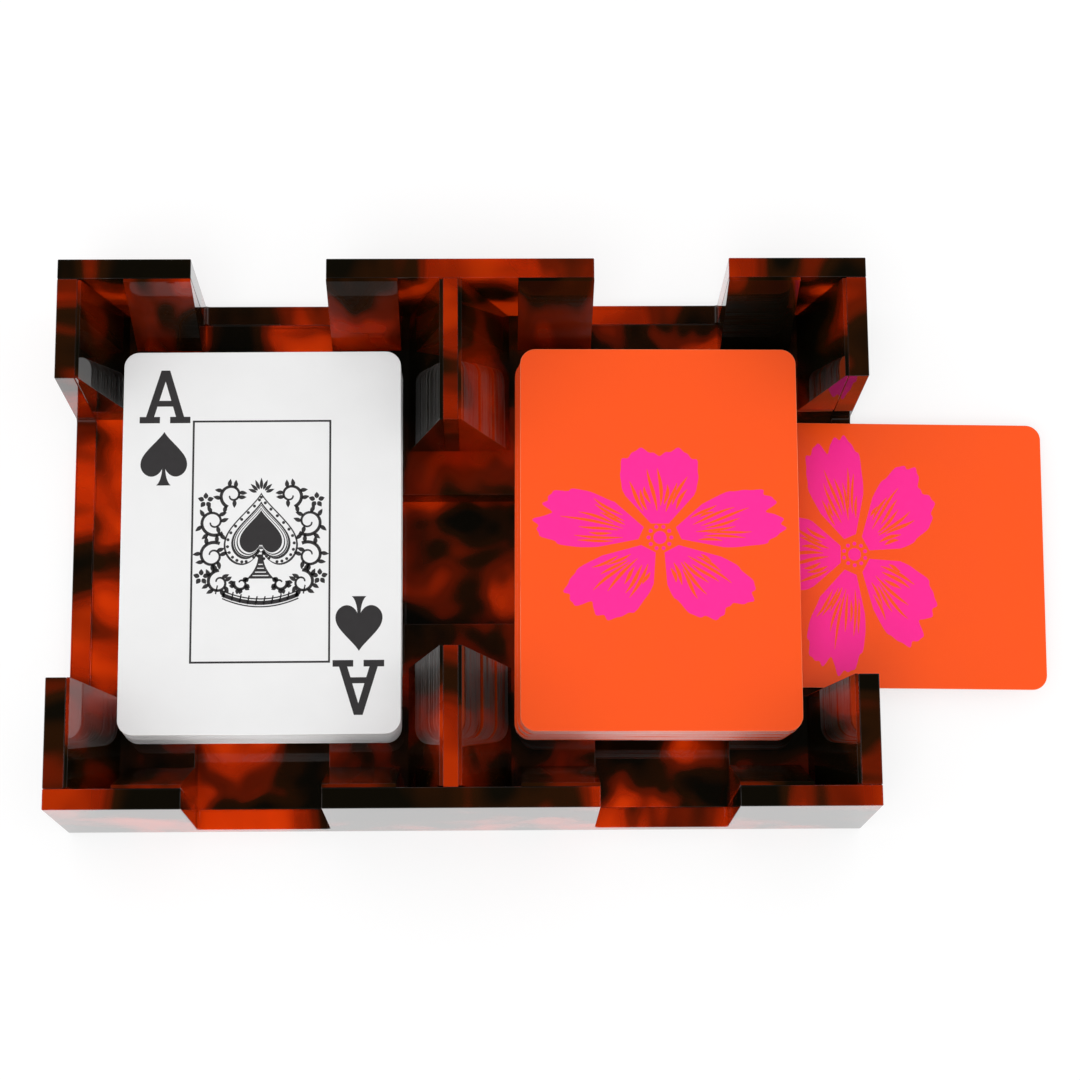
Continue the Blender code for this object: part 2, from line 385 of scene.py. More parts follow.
@dataclass(frozen=True)
class OffsetInk:
    """Offset printing ink under varnish: a flat colour with slight mottle and the card's own sheen."""

    name: str
    colour: str
    mottle: str
    mottle_mm: float = 1.6
    roughness: float = 0.36
    specular: float = 0.35

    def build(self) -> bpy.types.Material:
        """Build the material.

        Returns:
            The finished material.
        """
        material, tree, shader = new_material(self.name)
        coordinates = add_node(tree, "ShaderNodeTexCoord")
        grain = add_node(
            tree, "ShaderNodeTexNoise",
            {"Vector": coordinates.outputs["Object"], "Scale": 1.0 / (self.mottle_mm * MM), "Detail": 5.0},
        )
        colour = add_node(
            tree, "ShaderNodeMix",
            {"Factor": grain.outputs["Fac"], "A": hex_linear(self.colour), "B": hex_linear(self.mottle)},
            data_type="RGBA",
        )
        tree.links.new(colour.outputs["Result"], shader.inputs["Base Color"])
        shader.inputs["Roughness"].default_value = self.roughness
        shader.inputs["Specular IOR Level"].default_value = self.specular
        return material


def mesh_object(
    name: str, vertices: np.ndarray, faces: list[list[int]], materials: list[bpy.types.Material]
) -> bpy.types.Object:
    """Make a mesh object at the origin from arrays.

    Args:
        name: The object's name.
        vertices: N by 3 array of places.
        faces: Vertex numbers of each face.
        materials: The object's material slots.

    Returns:
        The linked object.
    """
    mesh = bpy.data.meshes.new(name)
    mesh.from_pydata(vertices.tolist(), [], faces)
    for material in materials:
        mesh.materials.append(material)
    mesh.update()
    obj = bpy.data.objects.new(name, mesh)
    bpy.context.scene.collection.objects.link(obj)
    return obj


def rounded_rectangle(width: float, length: float, radius: float, segments: int) -> np.ndarray:
    """Return a rounded rectangle's outline, counterclockwise and centred on the origin.

    Each corner is a quarter circle: centre plus radius times (cos a, sin a).

    Args:
        width: Size along X.
        length: Size along Y.
        radius: Corner radius.
        segments: Segments of each corner.

    Returns:
        N by 2 array.
    """
    quarter = np.linspace(0.0, math.pi / 2, segments + 1)
    angles = (np.arange(4)[:, None] * (math.pi / 2) + quarter[None, :]).ravel()
    signs = np.array([[1, 1], [-1, 1], [-1, -1], [1, -1]], float)
    centres = signs * [width / 2 - radius, length / 2 - radius]
    return np.repeat(centres, segments + 1, axis=0) + radius * np.stack([np.cos(angles), np.sin(angles)], 1)


def ring_quads(starts: np.ndarray, ring: int) -> np.ndarray:
    """Join rings of points to the rings that follow them, point to point, with quads.

    Quad k of a ring that starts at s has the corners s + k, s + k + 1, and the same two one ring on.

    Args:
        starts: Number of the first point of each ring that is joined to the next one.
        ring: Points in a ring.

    Returns:
        Q by 4 point numbers.
    """
    here = starts[:, None] + np.arange(ring)[None, :]
    after = starts[:, None] + (np.arange(ring) + 1)[None, :] % ring
    return np.stack([here, after, after + ring, here + ring], -1).reshape(-1, 4)


def turn(points: np.ndarray, degrees: float) -> np.ndarray:
    """Turn N by 2 points about the origin, anticlockwise."""
    c, s = math.cos(math.radians(degrees)), math.sin(math.radians(degrees))
    return points @ np.array([[c, s], [-s, c]])


@dataclass
class CardPlace:
    """Where a card lies: its centre and turn, read back from the CAD node's outline."""

    x: float
    y: float
    low: float
    high: float
    turn_degrees: float

    @classmethod
    def of_node(cls, node: bpy.types.Object) -> "CardPlace":
        """Read a card's place from its CAD node.

        The outline's points are spread alike in all four corners, so the direction in which they
        spread most is the card's long side.

        Args:
            node: The CAD node, a flat card or packet.

        Returns:
            The place.
        """
        places = np.empty(len(node.data.vertices) * 3)
        node.data.vertices.foreach_get("co", places)
        places = places.reshape(-1, 3)
        low, high = places.min(0), places.max(0)
        outline = np.unique(np.round(places[:, :2], 7), axis=0)
        centre = (low[:2] + high[:2]) / 2
        _, axes = np.linalg.eigh(np.cov((outline - centre).T))
        along = axes[:, 1]
        degrees = math.degrees(math.atan2(along[1], along[0])) - 90.0
        degrees = (degrees + 75.0) % 180.0 - 75.0
        return cls(centre[0], centre[1], low[2], high[2], degrees)

    def to_row(self, points: np.ndarray, height: float | np.ndarray) -> np.ndarray:
        """Carry N by 2 card points to N by 3 row places at a height."""
        flat = turn(points, self.turn_degrees) + [self.x, self.y]
        return np.column_stack([flat, np.broadcast_to(height, len(flat))])


def soften(corners: np.ndarray, radii: np.ndarray, segments: int) -> np.ndarray:
    """Round every corner of an outline with an arc.

    With u and v the directions to the neighbours and h half the angle between them, the arc's
    centre lies r / sin(h) along u + v and it touches the sides r / tan(h) from the corner. Points
    between the two touching points are a spherical blend of their directions from the centre.

    Args:
        corners: N by 2 corners, anticlockwise.
        radii: Radius at each corner.
        segments: Segments of each arc.

    Returns:
        N * (segments + 1) by 2 outline.
    """
    u = np.roll(corners, 1, axis=0) - corners
    v = np.roll(corners, -1, axis=0) - corners
    u /= np.linalg.norm(u, axis=1, keepdims=True)
    v /= np.linalg.norm(v, axis=1, keepdims=True)
    half = np.arccos(np.clip((u * v).sum(1), -1.0, 1.0))[:, None] / 2
    radii = radii[:, None]
    middle = (u + v) / np.linalg.norm(u + v, axis=1, keepdims=True)
    centre = corners + middle * radii / np.sin(half)
    first = corners + u * radii / np.tan(half) - centre
    last = corners + v * radii / np.tan(half) - centre
    swing = math.pi - 2 * half[..., None]
    share = np.linspace(0.0, 1.0, segments + 1)[None, :, None]
    blend = np.sin((1 - share) * swing) * first[:, None] + np.sin(share * swing) * last[:, None]
    return (centre[:, None] + blend / np.sin(swing)).reshape(-1, 2)


def flat_triangles(outline: np.ndarray) -> np.ndarray:
    """Cut an outline into triangles that all face up.

    A triangle a, b, c faces up where (b - a) x (c - a) is positive.

    Args:
        outline: N by 2 outline; it may be concave.

    Returns:
        T by 3 point numbers.
    """
    # In millimetres, because very small polygons are cut badly in metres.
    loop = [Vector((x, y, 0.0)) for x, y in (outline / MM).tolist()]
    corners = np.array(tessellate_polygon([loop]))
    a, b, c = outline[corners[:, 0]], outline[corners[:, 1]], outline[corners[:, 2]]
    up = (b - a)[:, 0] * (c - a)[:, 1] - (b - a)[:, 1] * (c - a)[:, 0]
    return np.where((up > 0.0)[:, None], corners, corners[:, ::-1])


def polished_prism(
    outline: np.ndarray, thickness: float, radius: float, segments: int
) -> tuple[np.ndarray, list[list[int]]]:
    """Carry a quarter-round edge profile round an outline, on both faces of a sheet.

    At share t of a quarter turn each outline point moves in along its mitre by
    radius (1 - sin t), at radius (1 - cos t) from the face.

    Args:
        outline: N by 2 outline, anticlockwise.
        thickness: The sheet's thickness, along local Z from zero.
        radius: Radius of the polished edges.
        segments: Segments of each quarter round.

    Returns:
        Vertices in local X, Y, Z and the faces.
    """
    run = np.roll(outline, -1, axis=0) - outline
    run /= np.linalg.norm(run, axis=1, keepdims=True)
    inward = np.stack([-run[:, 1], run[:, 0]], 1)
    before = np.roll(inward, 1, axis=0)
    mitre = (inward + before) / (1.0 + (inward * before).sum(1, keepdims=True))
    t = np.linspace(0.0, math.pi / 2, segments + 1)
    inset = radius * (1.0 - np.sin(t))
    depth = radius * (1.0 - np.cos(t))
    inset = np.concatenate([inset, inset[::-1]])
    height = np.concatenate([depth, thickness - depth[::-1]])
    flat = outline[None] + mitre[None] * inset[:, None, None]
    levels = np.broadcast_to(height[:, None, None], flat.shape[:2] + (1,))
    vertices = np.concatenate([flat, levels], 2).reshape(-1, 3)
    count, rings = len(outline), len(inset)
    sides = ring_quads(np.arange(rings - 1) * count, count)
    cap = flat_triangles(flat[0])
    last = (rings - 1) * count
    return vertices, sides.tolist() + cap[:, ::-1].tolist() + (cap + last).tolist()


# Where in the cast sheet each piece is cut, in millimetres, and how much of it is amber. The places
# came from a search of random ones for light and dark parts about where the photograph has them.
SHEET_CUTS: dict[str, tuple[tuple[int, int, int], Cloud]] = {
    "front_wall": ((220, 346, 112), Cloud.MIXED),
    "back_wall": ((373, 17, 20), Cloud.BRIGHT),
    "left_wall": ((296, 193, 109), Cloud.BRIGHT),
    "right_wall": ((176, 233, 389), Cloud.MIXED),
    "base_plate": ((215, 50, 209), Cloud.MIXED),
    "divider_back": ((112, 346, 78), Cloud.BRIGHT),
    "divider_front": ((202, 301, 279), Cloud.BRIGHT),
    "riser_back_middle": ((290, 390, 21), Cloud.MIXED),
    "riser_front_middle": ((93, 372, 229), Cloud.BRIGHT),
    "guide_discard_outer_back": ((271, 4, 13), Cloud.BRIGHT),
    "guide_discard_inner_back": ((386, 0, 189), Cloud.BRIGHT),
    "guide_stock_inner_back": ((372, 192, 243), Cloud.BRIGHT),
    "guide_stock_outer_back": ((246, 339, 155), Cloud.MIXED),
    "guide_discard_wall_back": ((62, 366, 52), Cloud.MIXED),
    "guide_stock_wall_back": ((52, 82, 318), Cloud.MIXED),
    "guide_discard_divider_back": ((162, 351, 354), Cloud.DARK),
    "guide_stock_divider_back": ((23, 393, 45), Cloud.MIXED),
    "guide_stock_divider_front": ((91, 133, 271), Cloud.DARK),
    "guide_discard_divider_front": ((105, 35, 265), Cloud.DARK),
    "guide_discard_wall_front": ((98, 226, 268), Cloud.MIXED),
    "guide_stock_wall_front": ((350, 72, 62), Cloud.DARK),
    "guide_discard_outer_front": ((41, 195, 287), Cloud.BRIGHT),
    "guide_discard_inner_front": ((158, 309, 191), Cloud.DARK),
    "guide_stock_inner_front": ((274, 384, 355), Cloud.DARK),
    "guide_stock_outer_front": ((172, 268, 237), Cloud.MIXED),
}


@dataclass
class PolishedPiece:
    """One acrylic piece in its CAD node's place, with polished round edges.

    The outline lies in local X and Y and the sheet's thickness along local Z. The three directions
    say where local X, Y and Z point in the row.
    """

    node_name: str
    finish: TortoiseshellAcrylic
    corners: list[tuple[float, float]]
    thickness: float
    origin: Vector
    directions: tuple[Vector, Vector, Vector]
    slot: str
    edge_radius: float = 0.25 * MM
    inside_radius: float = 1.0 * MM
    edge_segments: int = 4
    corner_segments: int = 5

    def build(self) -> bpy.types.Object:
        """Build the piece and give it its acrylic.

        Returns:
            The piece.
        """
        corners = np.array(self.corners)
        into = corners - np.roll(corners, 1, axis=0)
        out = np.roll(corners, -1, axis=0) - corners
        convex = into[:, 0] * out[:, 1] - into[:, 1] * out[:, 0] > 0.0
        radii = np.where(convex, self.edge_radius, self.inside_radius)
        outline = soften(corners, radii, self.corner_segments)
        local, faces = polished_prism(outline, self.thickness, self.edge_radius, self.edge_segments)
        frame = np.array([list(direction) for direction in self.directions])
        vertices = local @ frame + np.array(self.origin)
        piece = mesh_object(self.node_name + "_polished", vertices, faces, [self.finish.build()])
        piece.data.shade_smooth()
        shade = piece.modifiers.new("Flat faces stay flat", "WEIGHTED_NORMAL")
        shade.keep_sharp = True
        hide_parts(self.node_name)
        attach(piece, "tray")
        LOG.info("built %s", piece.name)
        return piece


@dataclass
class AcrylicShell:
    """All the cemented acrylic pieces of the tray, measured from the CAD nodes' boxes."""

    seam: float = 0.27 * MM
    quiet_gloss: float = 0.06
    land: float = 0.5 * MM
    guide_edge: float = 0.12 * MM
    divider_edge: float = 0.15 * MM
    finishes: dict[str, TortoiseshellAcrylic] = field(default_factory=dict)

    def finish(self, name: str, axis: Axis) -> TortoiseshellAcrylic:
        """Return a piece's acrylic, cut from its own place in the cast sheet.

        Args:
            name: The node's name.
            axis: The axis of the sheet's thickness.

        Returns:
            The finish.
        """
        number = len(self.finishes)
        elsewhere = ((37 * number, 53 * number, 71 * number), Cloud.DARK)
        offset, cloud = SHEET_CUTS.get(name, elsewhere)
        # In the photograph the sloping faces at a pack's two ends hardly mirror it; the gloss is
        # matched to that.
        end_guide = "_outer_" in name or "_inner_" in name
        gloss = self.quiet_gloss if end_guide else TortoiseshellAcrylic.specular
        label = "Cast tortoiseshell acrylic " + name
        self.finishes[name] = TortoiseshellAcrylic(label, axis, offset, cloud, specular=gloss)
        return self.finishes[name]

    def block(
        self, name: str, slot: str, finish: TortoiseshellAcrylic, grow: tuple[int, ...], edge: float
    ) -> None:
        """Build a plain rectangular piece, grown into its cemented seams.

        Args:
            name: The node's name.
            slot: The record's material slot; not used.
            finish: Its acrylic.
            grow: 1 for each of the six sides with a seam: low X, Y, Z, then high X, Y, Z.
            edge: Radius of its polished edges.
        """
        low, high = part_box(name)
        low = low - Vector(grow[:3]) * self.seam
        high = high + Vector(grow[3:]) * self.seam
        size = high - low
        corners = [(0.0, 0.0), (size.x, 0.0), (size.x, size.y), (0.0, size.y)]
        directions = (Vector((1, 0, 0)), Vector((0, 1, 0)), Vector((0, 0, 1)))
        piece = PolishedPiece(name, finish, corners, size.z, low, directions, slot)
        piece.edge_radius = edge
        piece.build()

    def wall(self, name: str, axis: Axis, notches: list[tuple[float, float]], floor: float) -> None:
        """Build a wall whose notches are cut down to the floor.

        Args:
            name: The node's name.
            axis: The axis of the wall's thickness.
            notches: Low and high place of each notch along the wall.
            floor: Height of the notches' bottoms.
        """
        low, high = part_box(name)
        low, high = low.copy(), high.copy()
        along = 0 if axis is Axis.Y else 1
        if axis is Axis.X:
            low.y, high.y = low.y - self.seam, high.y + self.seam
        start, rim = low[along], high.z - low.z
        corners = [(0.0, 0.0), (high[along] - start, 0.0), (high[along] - start, rim)]
        for left, right in sorted(notches, reverse=True):
            near, far = left - start, right - start
            corners += [(far, rim), (far, floor), (near, floor), (near, rim)]
        corners.append((0.0, rim))
        if axis is Axis.Y:
            origin = Vector((low.x, high.y, low.z))
            directions = (Vector((1, 0, 0)), Vector((0, 0, 1)), Vector((0, -1, 0)))
            thickness = high.y - low.y
        else:
            origin = low
            directions = (Vector((0, 1, 0)), Vector((0, 0, 1)), Vector((1, 0, 0)))
            thickness = high.x - low.x
        finish = self.finish(name, axis)
        PolishedPiece(name, finish, corners, thickness, origin, directions, "shell_sheet").build()

    def guide(self, name: str) -> None:
        """Build a wedge guide: an upright back, a narrow land on top and a slope down to the foot.

        Guides along the side walls and dividers slope along X, those on the end walls along Y.

        Args:
            name: The node's name.
        """
        low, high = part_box(name)
        if "_wall_" in name or "_divider_" in name:
            foot, length = high.x - low.x, high.y - low.y
            if name.startswith(("guide_discard_wall", "guide_stock_divider")):
                origin, foot_way, run = Vector((low.x, high.y, low.z)), (1, 0, 0), (0, -1, 0)
            else:
                origin, foot_way, run = Vector((high.x, low.y, low.z)), (-1, 0, 0), (0, 1, 0)
        else:
            foot, length = high.y - low.y, high.x - low.x
            if name.endswith("_back"):
                origin, foot_way, run = Vector((high.x, high.y, low.z)), (0, -1, 0), (-1, 0, 0)
            else:
                origin, foot_way, run = low.copy(), (0, 1, 0), (1, 0, 0)
        foot_way, run = Vector(foot_way), Vector(run)
        height = high.z - low.z + self.seam
        origin = origin - foot_way * self.seam - Vector((0, 0, self.seam))
        foot = foot + self.seam
        corners = [(0.0, 0.0), (foot, 0.0), (self.land + self.seam, height), (0.0, height)]
        directions = (foot_way, Vector((0, 0, 1)), run)
        finish = self.finish(name, Axis.Z)
        piece = PolishedPiece(name, finish, corners, length, origin, directions, "shell_guide")
        piece.edge_radius, piece.edge_segments, piece.corner_segments = self.guide_edge, 3, 3
        piece.build()

    def build(self, nodes: dict[str, bpy.types.Object]) -> None:
        """Build every acrylic piece.

        Args:
            nodes: CAD node name to object.
        """
        edges = {side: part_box("riser_front_" + side) for side in ("left", "middle", "right")}
        _, back_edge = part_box("riser_front_left")
        front_edge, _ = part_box("riser_back_left")
        _, plate_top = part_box("base_plate")
        fingers = [(edges["left"][1].x, edges["middle"][0].x), (edges["middle"][1].x, edges["right"][0].x)]
        for name in ("front_wall", "back_wall"):
            self.wall(name, Axis.Y, fingers, plate_top.z)
        for name in ("left_wall", "right_wall"):
            self.wall(name, Axis.X, [(back_edge.y, front_edge.y)], plate_top.z)
        plate = self.finish("base_plate", Axis.Z)
        self.block("base_plate", "shell_sheet", plate, (1, 1, 0, 1, 1, 0), PolishedPiece.edge_radius)
        for name, grow in (("divider_back", (0, 0, 1, 0, 1, 0)), ("divider_front", (0, 1, 1, 0, 0, 0))):
            upright = self.finish(name, Axis.X)
            self.block(name, "shell_sheet", upright, grow, self.divider_edge)
        for name in sorted(n for n in nodes if n.startswith("riser_")):
            back, left, right = (int(word in name) for word in ("_back", "left", "right"))
            shelf = self.finish(name, Axis.Z)
            grow = (left, 1 - back, 1, right, back, 0)
            self.block(name, "shell_riser", shelf, grow, PolishedPiece.edge_radius)
        for name in sorted(n for n in nodes if n.startswith("guide_")):
            self.guide(name)


@dataclass
class PackPiece:
    """A packet or a card: its CAD node, body and slot, its two finishes and a card's size."""

    node_name: str
    body: str
    slot: str
    faces: CoatedCardStock
    edges: CutCardEdge
    width: float = 63.5 * MM
    length: float = 88.9 * MM
    radius: float = 3.5 * MM

    def dress(
        self, ending: str, vertices: np.ndarray, sides: list[list[int]], caps: list[list[int]]
    ) -> bpy.types.Object:
        """Make the piece, with cut edges on its sides and varnished board on its caps.

        Args:
            ending: What the piece's name adds to its node's.
            vertices: N by 3 array of places.
            sides: Vertex numbers of each side face.
            caps: Vertex numbers of each face of a card.

        Returns:
            The piece.
        """
        materials = [self.edges.build(), self.faces.build()]
        piece = mesh_object(self.node_name + ending, vertices, sides + caps, materials)
        slots = np.repeat([0, 1], [len(sides), len(caps)])
        piece.data.polygons.foreach_set("material_index", slots)
        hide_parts(self.node_name)
        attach(piece, self.body)
        LOG.info("built %s", piece.name)
        return piece


@dataclass
class CardStack(PackPiece):
    """A packet of separate cards, each a thin slab with rounded corners, squared by hand."""

    pitch: float = 0.3 * MM
    card_gap: float = 0.02 * MM
    slip: float = 0.07 * MM
    corner_segments: int = 7
    seed: int = 7

    def build(self, nodes: dict[str, bpy.types.Object]) -> bpy.types.Object:
        """Build the packet in its CAD node's place.

        Card k has its outline at the node's centre plus a small slip, between heights
        low + k * pitch and the next one less the gap.

        Args:
            nodes: CAD node name to object.

        Returns:
            The packet.
        """
        place = CardPlace.of_node(nodes[self.node_name])
        count = max(1, round((place.high - place.low) / self.pitch))
        pitch = (place.high - place.low) / count
        outline = rounded_rectangle(
            self.width - 2 * self.slip, self.length - 2 * self.slip, self.radius, self.corner_segments
        )
        ring = len(outline)
        random = np.random.default_rng(self.seed)
        slips = random.uniform(-self.slip, self.slip, (count, 1, 2))
        slips[-1] = 0.0
        flat = (outline[None] + slips).reshape(-1, 2)
        lows = place.low + pitch * np.arange(count)
        tops = lows + pitch - self.card_gap
        tops[-1] = place.high
        bottom = place.to_row(flat, np.repeat(lows, ring)).reshape(count, ring, 3)
        top = place.to_row(flat, np.repeat(tops, ring)).reshape(count, ring, 3)
        vertices = np.stack([bottom, top], 1).reshape(-1, 3)
        starts = np.arange(count) * 2 * ring
        sides = ring_quads(starts, ring)
        under = starts[:, None] + np.arange(ring)[None, :]
        caps = under[:, ::-1].tolist() + (under + ring).tolist()
        LOG.info("%s holds %d cards", self.node_name, count)
        return self.dress("_cards", vertices, sides.tolist(), caps)


@dataclass
class LooseCard(PackPiece):
    """One card with softly rounded edges, in its CAD node's place."""

    corner_segments: int = 12
    place: CardPlace | None = None

    def build(self, nodes: dict[str, bpy.types.Object]) -> bpy.types.Object:
        """Build the card.

        Its rim is a half ellipse in section: inset w (1 - sin t) and height by cos t.

        Args:
            nodes: CAD node name to object.

        Returns:
            The card.
        """
        self.place = CardPlace.of_node(nodes[self.node_name])
        thickness = self.place.high - self.place.low
        angles = np.linspace(0.0, math.pi, 7)
        insets = (1.0 - np.sin(angles)) * thickness * 0.35
        heights = self.place.low + thickness * (1.0 - np.cos(angles)) / 2
        rings = [
            self.place.to_row(
                rounded_rectangle(
                    self.width - 2 * inset, self.length - 2 * inset, self.radius - inset, self.corner_segments
                ),
                height,
            )
            for inset, height in zip(insets, heights)
        ]
        vertices = np.concatenate(rings)
        ring = len(rings[0])
        last = (len(rings) - 1) * ring
        sides = ring_quads(np.arange(len(rings) - 1) * ring, ring)
        caps = [list(range(ring))[::-1], list(range(last, last + ring))]
        return self.dress("_board", vertices, sides.tolist(), caps)


@dataclass
class Print:
    """A flat print on a card: polygons with holes, in millimetres from the card's centre."""

    name: str
    body: str
    place: CardPlace
    ink: OffsetInk
    lift: float = 0.008 * MM
    film: float = 0.004 * MM

    def build(self, shapes: list[list[np.ndarray]]) -> bpy.types.Object:
        """Print the shapes as a thin closed film on the card.

        Args:
            shapes: Each shape is its outer outline and then its holes, N by 2 arrays in mm.

        Returns:
            The film.
        """
        loops, triangles, start = [], [], 0
        walls: list[list[int]] = []
        for shape in shapes:
            count = sum(len(loop) for loop in shape)
            found = tessellate_polygon([[Vector((x, y, 0.0)) for x, y in loop] for loop in shape])
            triangles += [[start + i for i in triangle] for triangle in found]
            at = start
            for loop in shape:
                here = at + np.arange(len(loop))
                walls.append(np.stack([here, np.roll(here, -1)], 1))
                at += len(loop)
            loops += shape
            start += count
        flat = np.concatenate(loops) * MM
        low = self.place.to_row(flat, self.place.high + self.lift)
        high = low + [0.0, 0.0, self.film]
        top = np.array(triangles) + start
        edges = np.concatenate(walls)
        sides = np.column_stack([edges[:, 0], edges[:, 1], edges[:, 1] + start, edges[:, 0] + start])
        faces = np.array(triangles)[:, ::-1].tolist() + top.tolist() + sides.tolist()
        film = mesh_object(self.name, np.concatenate([low, high]), faces, [self.ink.build()])
        shape_up = bmesh.new()
        shape_up.from_mesh(film.data)
        bmesh.ops.recalc_face_normals(shape_up, faces=shape_up.faces)
        shape_up.to_mesh(film.data)
        shape_up.free()
        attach(film, self.body)
        LOG.info("printed %s", film.name)
        return film


def spade_outline(
    width: float, height: float, centre: tuple[float, float], samples: int = 48, stem: bool = True
) -> np.ndarray:
    """Return a traditional spade: two round lobes under a point, on a flared stem.

    The blade is half a heart curve upside down: x follows a cubic Bezier from the tip out to the
    widest place and back round the lobe to the stem. The left half mirrors the right one.

    Args:
        width: Whole width.
        height: Whole height.
        centre: Centre of the box round it.
        samples: Points along each half.
        stem: Whether the flared stem is drawn.

    Returns:
        N by 2 array, anticlockwise.
    """
    pieces = np.array(
        [
            [[0.0, 0.5], [0.09, 0.36], [0.40, 0.16], [0.475, 0.0]],
            [[0.475, 0.0], [0.57, -0.20], [0.39, -0.345], [0.245, -0.335]],
            [[0.245, -0.335], [0.13, -0.325], [0.055, -0.24], [0.035, -0.19]],
            [[0.035, -0.19], [0.04, -0.34], [0.09, -0.45], [0.155, -0.5]],
        ]
    )
    t = np.linspace(0.0, 1.0, samples // 4, endpoint=False)[:, None]
    weights = [(1 - t) ** 3, 3 * t * (1 - t) ** 2, 3 * t**2 * (1 - t), t**3]
    drawn = pieces if stem else pieces[:3]
    right = np.concatenate([sum(w * p[None, :] for w, p in zip(weights, piece)) for piece in drawn])
    right = np.concatenate([right, drawn[-1][-1:]])
    left = right[::-1] * [-1.0, 1.0]
    outline = np.concatenate([right, left[:-1]])[::-1]
    return outline * [width, height] + centre


def block_letter_a(
    width: float, height: float, centre: tuple[float, float], stroke: float
) -> list[np.ndarray]:
    """Return a slab capital A as one outer outline and one hole, in mm.

    Args:
        width: Width over the slabs.
        height: Height.
        centre: Centre of the letter's box.
        stroke: Thickness of the slabs.

    Returns:
        Outer outline and the hole of the counter.
    """
    half, top, foot = width / 2, height / 2, -height / 2
    slab = foot + stroke
    flat, leg_out, leg_in = 0.085 * width, 0.375 * width, 0.215 * width
    bar_low, bar_high = foot + 0.315 * height, foot + 0.425 * height
    peak = foot + 0.79 * height

    def inner(y: float) -> float:
        """Return half the width between the legs at height y."""
        return leg_in * (peak - y) / (peak - slab)

    right = [
        (flat, top), (leg_out, slab), (half, slab), (half, foot), (0.10 * width, foot),
        (0.10 * width, slab), (leg_in, slab), (inner(bar_low), bar_low),
    ]
    outer = right + [(-x, y) for x, y in reversed(right)]
    hole = [(inner(bar_high), bar_high), (0.0, peak), (-inner(bar_high), bar_high)]
    return [np.array(outer) + centre, np.array(hole) + centre]


def ribbon(path: np.ndarray, widths: np.ndarray) -> np.ndarray:
    """Return a closed outline along a path: the path moved half the width to each side.

    Args:
        path: N by 2 points of the middle line.
        widths: Width at each point.

    Returns:
        2N by 2 outline.
    """
    run = np.gradient(path, axis=0)
    run /= np.linalg.norm(run, axis=1, keepdims=True)
    normal = np.stack([-run[:, 1], run[:, 0]], 1) * widths[:, None] / 2
    return np.concatenate([path - normal, (path + normal)[::-1]])


def spiral(
    centre: tuple[float, float], start: float, end: float, first: float, last: float, samples: int = 40
) -> np.ndarray:
    """Return a spiral: radius goes evenly from first to last while the angle goes from start to end.

    Args:
        centre: The spiral's middle.
        start: First angle in degrees.
        end: Last angle in degrees.
        first: Radius at the start.
        last: Radius at the end.
        samples: Number of points.

    Returns:
        N by 2 array.
    """
    angles = np.radians(np.linspace(start, end, samples))
    radii = np.linspace(first, last, samples)
    return np.stack([np.cos(angles), np.sin(angles)], 1) * radii[:, None] + centre


def leaf(root: tuple[float, float], degrees: float, length: float, width: float) -> np.ndarray:
    """Return a pointed leaf: width times sin(pi t) to each side of a straight rib.

    Args:
        root: Where the leaf starts.
        degrees: Its direction.
        length: Its length.
        width: Its greatest width.

    Returns:
        Closed outline.
    """
    t = np.linspace(0.0, 1.0, 12)
    upper = np.stack([t * length, np.sin(math.pi * t**0.8) * width / 2], 1)
    lower = upper[1:-1][::-1] * [1.0, -1.0]
    return turn(np.concatenate([upper[::-1], lower[::-1]])[::-1], degrees) + root


